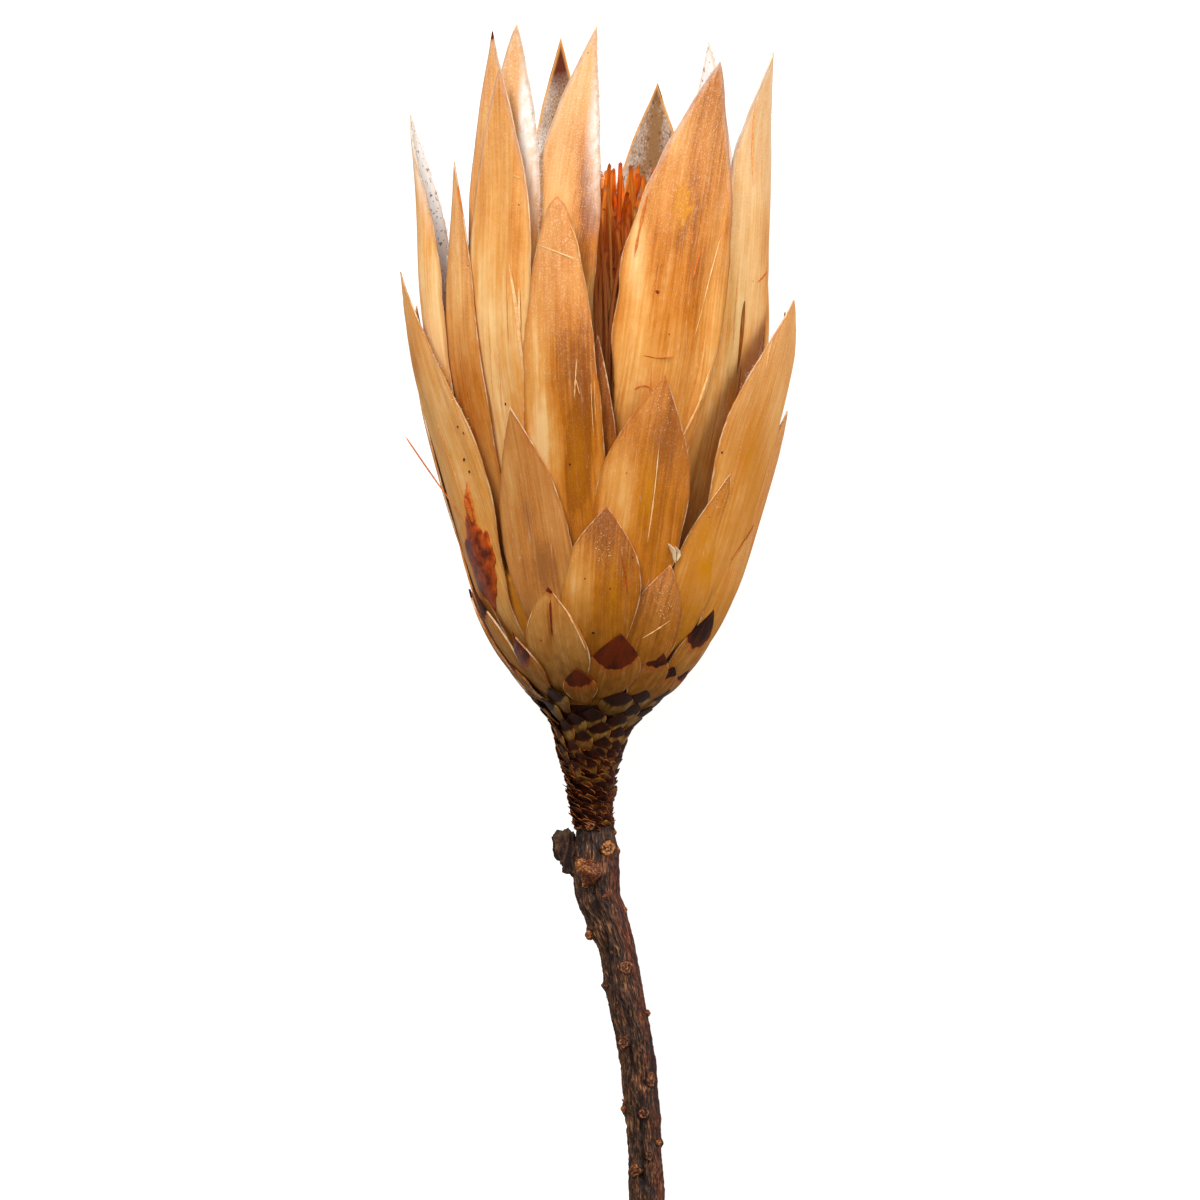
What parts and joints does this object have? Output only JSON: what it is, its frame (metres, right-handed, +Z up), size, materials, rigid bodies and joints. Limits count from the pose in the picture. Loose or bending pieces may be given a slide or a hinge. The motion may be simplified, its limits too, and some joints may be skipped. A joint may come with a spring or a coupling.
{
  "type": "dried sugarbush flower head",
  "caption": "Dried sugarbush: a goblet of overlapping papery bracts round a bundle of styles, on a scaly neck and a cut woody stem, lying on its back.",
  "frame": {"origin": "on the surface that the flower lies on, under the middle of its bounding box", "axes": "+Y along the flower from the stem's cut end to the bracts' tips, +Z up, +X to the viewer's right"},
  "size_m": [0.063, 0.191, 0.0624],
  "materials": {
    "bark": "weathered bark, matt",
    "neck_scales": "dry dark scales, satin at the tips",
    "bracts": "dry papery bracts, satin",
    "styles": "dry matt fibres"
  },
  "bodies": {
    "root": {"stem": "bark", "neck_scales": "neck_scales", "bracts": "bracts", "florets": "styles"}
  },
  "joints": []
}
